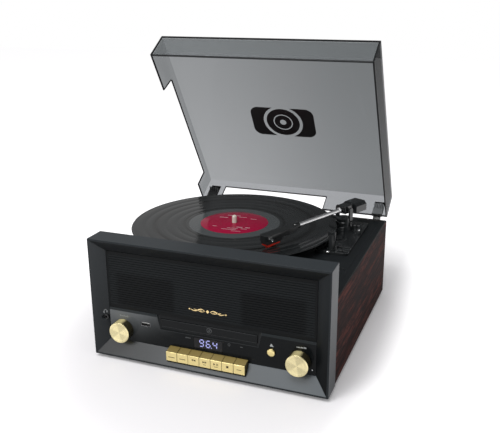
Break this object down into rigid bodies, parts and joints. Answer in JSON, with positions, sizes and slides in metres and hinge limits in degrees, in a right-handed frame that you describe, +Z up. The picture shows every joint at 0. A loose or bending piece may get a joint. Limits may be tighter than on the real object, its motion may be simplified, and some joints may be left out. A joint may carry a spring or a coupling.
{
  "type": "stereo music centre",
  "caption": "Table-top music centre: turntable with tonearm under a hinged clear lid, disc drawer, radio dials, keys and speakers behind a deep framed front.",
  "frame": {"origin": "middle of the cabinet's footprint, on the surface that the feet stand on", "axes": "+X to the right seen from the front, +Y from the front to the back, +Z up"},
  "size_m": [0.3518, 0.3845, 0.4047],
  "materials": {
    "wood": "dark red-brown veneer, satin",
    "dark_board": "black painted board",
    "bezel": "satin charcoal",
    "deck": "fine matt",
    "rubber": "matt black",
    "baffle": "matt black",
    "grille": "matt dark grey",
    "speaker": "black basket and paper cone",
    "panel": "gloss black",
    "window": "smoked gloss",
    "display": "bluish white glow",
    "circuit": "green lacquer",
    "steel": "plain",
    "tuning_gold": "polished gold, spun face",
    "volume_gold": "polished gold, spun face",
    "button_gold": "metallic gold",
    "key_gold": "metallic gold",
    "socket": "black",
    "tray": "gloss black",
    "chassis": "grey moulding",
    "laser": "black",
    "transformer": "varnished",
    "platter": "black painted",
    "mat": "matt",
    "vinyl": "grooved gloss",
    "label": "crimson, plain ringed",
    "spindle": "polished",
    "pulley": "turned",
    "belt": "matt",
    "arm_base": "satin black",
    "yoke": "charcoal",
    "tonearm": "silver tube, dark block",
    "headshell": "satin black",
    "cartridge": "satin black",
    "stylus": "red",
    "arm_small": "satin black",
    "lid": "smoked clear",
    "hinge": "plated"
  },
  "bodies": {
    "cabinet": {"left_side": "wood", "right_side": "wood", "rear_board": "dark_board", "base_board": "dark_board", "feet": "rubber", "top_deck": "deck", "front_bezel": "bezel", "speaker_baffle": "baffle", "speaker_grille": "grille", "speakers": "speaker", "control_panel": "panel", "display_window": "window", "display_module": "display", "control_board": "circuit", "rotary_controls": "steel", "usb_socket": "steel", "headphone_socket": "socket", "key_frame": "steel", "key_shaft": "steel", "key_switches": "circuit", "disc_loader": "chassis", "main_board": "circuit", "power_supply": "transformer", "rear_sockets": "socket", "spindle": "spindle", "platter_motor": "steel", "drive_belt": "belt", "arm_base": "arm_base", "arm_rest": "arm_small", "hinge_fixed": "hinge", "hinge_pins": "hinge"},
    "tuning_knob": {"tuning_knob": "tuning_gold"},
    "volume_knob": {"volume_knob": "volume_gold"},
    "eject_button": {"eject_button": "button_gold"},
    "key_1": {"key_1": "key_gold"},
    "key_2": {"key_2": "key_gold"},
    "key_3": {"key_3": "key_gold"},
    "key_4": {"key_4": "key_gold"},
    "key_5": {"key_5": "key_gold"},
    "key_6": {"key_6": "key_gold"},
    "key_7": {"key_7": "key_gold"},
    "disc_tray": {"disc_tray": "tray"},
    "disc_hub": {"disc_hub": "steel"},
    "laser_sled": {"laser_sled": "laser"},
    "platter": {"platter": "platter", "slip_mat": "mat", "record": "vinyl", "record_label": "label"},
    "motor_pulley": {"motor_pulley": "pulley"},
    "arm_yoke": {"arm_yoke": "yoke"},
    "tonearm": {"arm_tube": "tonearm", "headshell": "headshell", "cartridge": "cartridge", "stylus": "stylus"},
    "cue_lever": {"cue_lever": "arm_small"},
    "cue_lift": {"cue_lift": "arm_small"},
    "speed_selector": {"speed_selector": "arm_small"},
    "stop_switch": {"stop_switch": "arm_small"},
    "lid": {"lid": "lid", "hinge_moving": "hinge"}
  },
  "joints": [
    {"name": "tuning_turn", "type": "hinge", "parent": "cabinet", "child": "tuning_knob", "pos_m": [-0.1215, -0.164, 0.0425], "axis": [0, 1, 0], "continuous": true},
    {"name": "volume_turn", "type": "hinge", "parent": "cabinet", "child": "volume_knob", "pos_m": [0.1215, -0.164, 0.0425], "axis": [0, 1, 0], "range_deg": [-150, 150]},
    {"name": "eject_press", "type": "slide", "parent": "cabinet", "child": "eject_button", "axis": [0, 1, 0], "range_m": [0, 0.0012], "stiffness_N_per_m": 400, "springref_m": -0.002},
    {"name": "key_1_press", "type": "hinge", "parent": "cabinet", "child": "key_1", "pos_m": [-0.04671, -0.131, 0.024], "axis": [1, 0, 0], "range_deg": [0, 3], "stiffness_Nm_per_rad": 0.5, "springref_deg": -4.58},
    {"name": "key_2_press", "type": "hinge", "parent": "cabinet", "child": "key_2", "pos_m": [-0.03114, -0.131, 0.024], "axis": [1, 0, 0], "range_deg": [0, 3], "stiffness_Nm_per_rad": 0.5, "springref_deg": -4.58},
    {"name": "key_3_press", "type": "hinge", "parent": "cabinet", "child": "key_3", "pos_m": [-0.01557, -0.131, 0.024], "axis": [1, 0, 0], "range_deg": [0, 3], "stiffness_Nm_per_rad": 0.5, "springref_deg": -4.58},
    {"name": "key_4_press", "type": "hinge", "parent": "cabinet", "child": "key_4", "pos_m": [0, -0.131, 0.024], "axis": [1, 0, 0], "range_deg": [0, 3], "stiffness_Nm_per_rad": 0.5, "springref_deg": -4.58},
    {"name": "key_5_press", "type": "hinge", "parent": "cabinet", "child": "key_5", "pos_m": [0.01557, -0.131, 0.024], "axis": [1, 0, 0], "range_deg": [0, 3], "stiffness_Nm_per_rad": 0.5, "springref_deg": -4.58},
    {"name": "key_6_press", "type": "hinge", "parent": "cabinet", "child": "key_6", "pos_m": [0.03114, -0.131, 0.024], "axis": [1, 0, 0], "range_deg": [0, 3], "stiffness_Nm_per_rad": 0.5, "springref_deg": -4.58},
    {"name": "key_7_press", "type": "hinge", "parent": "cabinet", "child": "key_7", "pos_m": [0.04671, -0.131, 0.024], "axis": [1, 0, 0], "range_deg": [0, 3], "stiffness_Nm_per_rad": 0.5, "springref_deg": -4.58},
    {"name": "tray_slide", "type": "slide", "parent": "cabinet", "child": "disc_tray", "axis": [0, -1, 0], "range_m": [0, 0.118]},
    {"name": "disc_spin", "type": "hinge", "parent": "cabinet", "child": "disc_hub", "pos_m": [0, -0.088, 0.055], "axis": [0, 0, 1], "continuous": true},
    {"name": "laser_slide", "type": "slide", "parent": "cabinet", "child": "laser_sled", "axis": [0, 1, 0], "range_m": [0, 0.035]},
    {"name": "platter_spin", "type": "hinge", "parent": "cabinet", "child": "platter", "pos_m": [-0.04, 0.032, 0.133], "axis": [0, 0, -1], "continuous": true},
    {"name": "pulley_spin", "type": "hinge", "parent": "cabinet", "child": "motor_pulley", "pos_m": [-0.07991, 0.10705, 0.128], "axis": [0, 0, -1], "continuous": true},
    {"name": "arm_swing", "type": "hinge", "parent": "cabinet", "child": "arm_yoke", "pos_m": [0.108, 0.103, 0.14], "axis": [0, 0, 1], "range_deg": [-20.6, 27.5]},
    {"name": "arm_raise", "type": "hinge", "parent": "arm_yoke", "child": "tonearm", "pos_m": [0.108, 0.103, 0.157], "axis": [0.9178, -0.3971, 0], "range_deg": [-12, 0]},
    {"name": "cue_lever_turn", "type": "hinge", "parent": "cabinet", "child": "cue_lever", "pos_m": [0.134, 0.098, 0.1335], "axis": [-1, 0, 0], "range_deg": [0, 60]},
    {"name": "cue_lift_rise", "type": "slide", "parent": "cabinet", "child": "cue_lift", "axis": [0, 0, 1], "range_m": [0, 0.0036]},
    {"name": "speed_select", "type": "slide", "parent": "cabinet", "child": "speed_selector", "axis": [1, 0, 0], "range_m": [0, 0.01]},
    {"name": "stop_select", "type": "slide", "parent": "cabinet", "child": "stop_switch", "axis": [1, 0, 0], "range_m": [0, 0.006]},
    {"name": "lid_close", "type": "hinge", "parent": "cabinet", "child": "lid", "pos_m": [0, 0.174, 0.1181], "axis": [1, 0, 0], "range_deg": [0, 58]}
  ],
  "couplings": [
    {"joint": "pulley_spin", "follows": "platter_spin", "ratio": 11.667},
    {"joint": "cue_lever_turn", "follows": "cue_lift_rise", "rad_per_m": 290.8}
  ]
}
